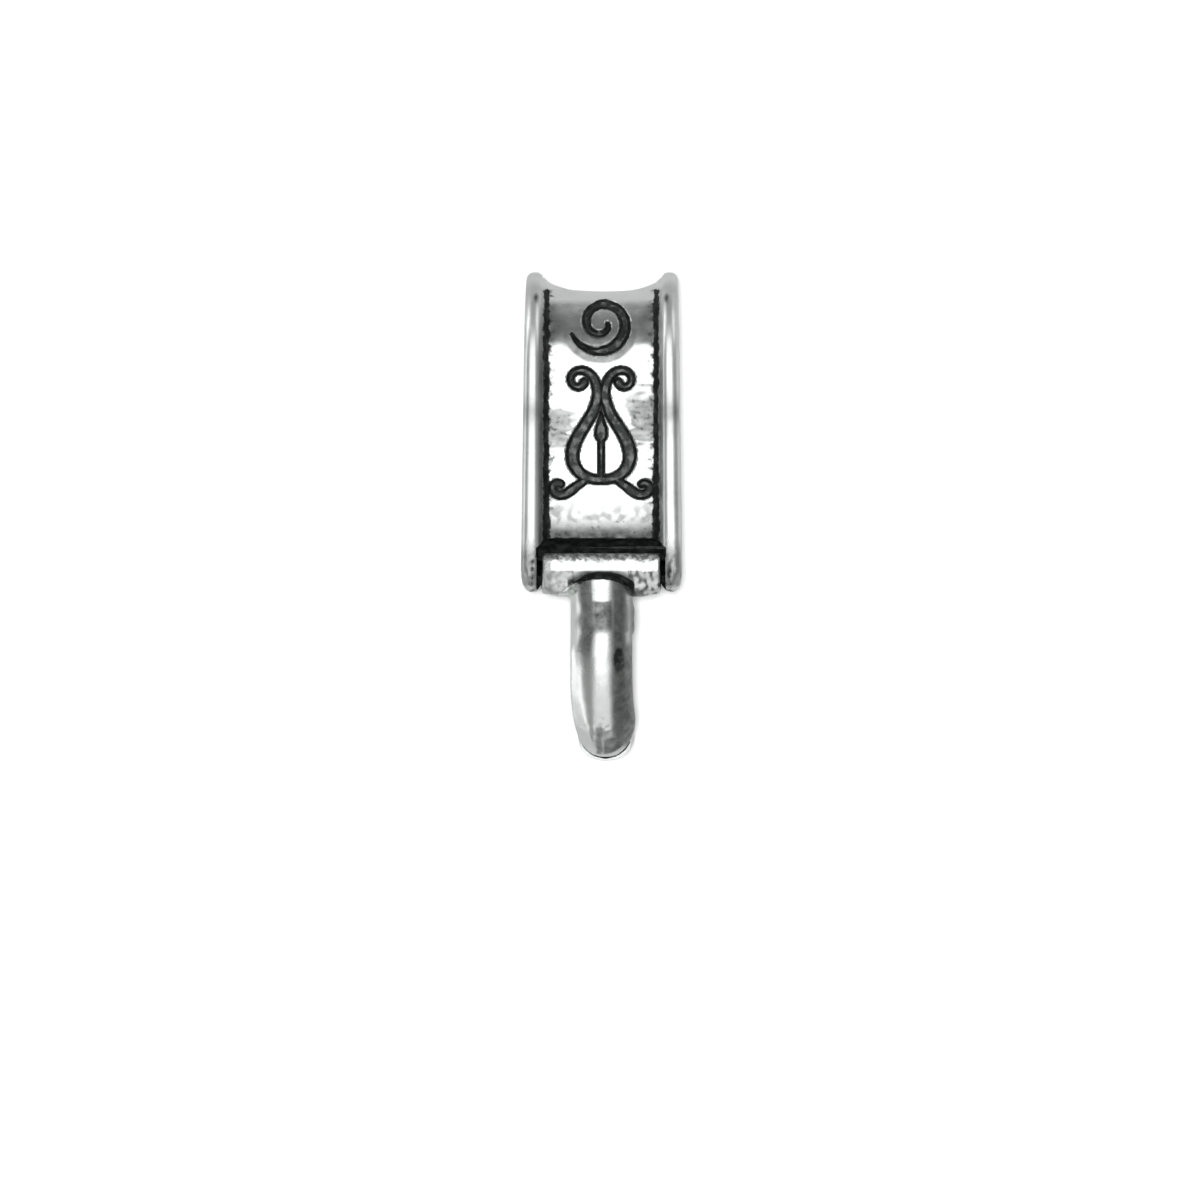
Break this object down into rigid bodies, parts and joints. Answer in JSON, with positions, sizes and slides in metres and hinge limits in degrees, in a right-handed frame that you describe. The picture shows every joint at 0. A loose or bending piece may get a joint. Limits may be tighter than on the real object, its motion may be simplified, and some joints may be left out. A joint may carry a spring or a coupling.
{
  "type": "hinged bail finding",
  "caption": "Hinged jewellery bail: a rimmed, scroll-engraved ring that slides on a chain, with a tongue that opens on a pin to take a pendant.",
  "frame": {"origin": "middle of the part's width and length, on the surface under its back", "axes": "+Z from the back to the engraved front, +Y from the tongue's tip to the top of the ring, +X across the bail"},
  "size_m": [0.0058, 0.018, 0.0072],
  "materials": {
    "ring_silver": "cast silver, polished on the rims and field, blackened in the engraving and corners",
    "gate_silver": "polished silver with grey tarnish patches and casting pits",
    "pin_silver": "drawn silver wire, filed flush"
  },
  "bodies": {
    "ring": {"ring_band": "ring_silver", "hinge_pin": "pin_silver"},
    "gate": {"gate": "gate_silver"}
  },
  "joints": [
    {"name": "gate_hinge", "type": "hinge", "parent": "ring", "child": "gate", "pos_m": [0, -0.00195, 0.00632], "axis": [-1, 0, 0], "range_deg": [0, 55]}
  ]
}
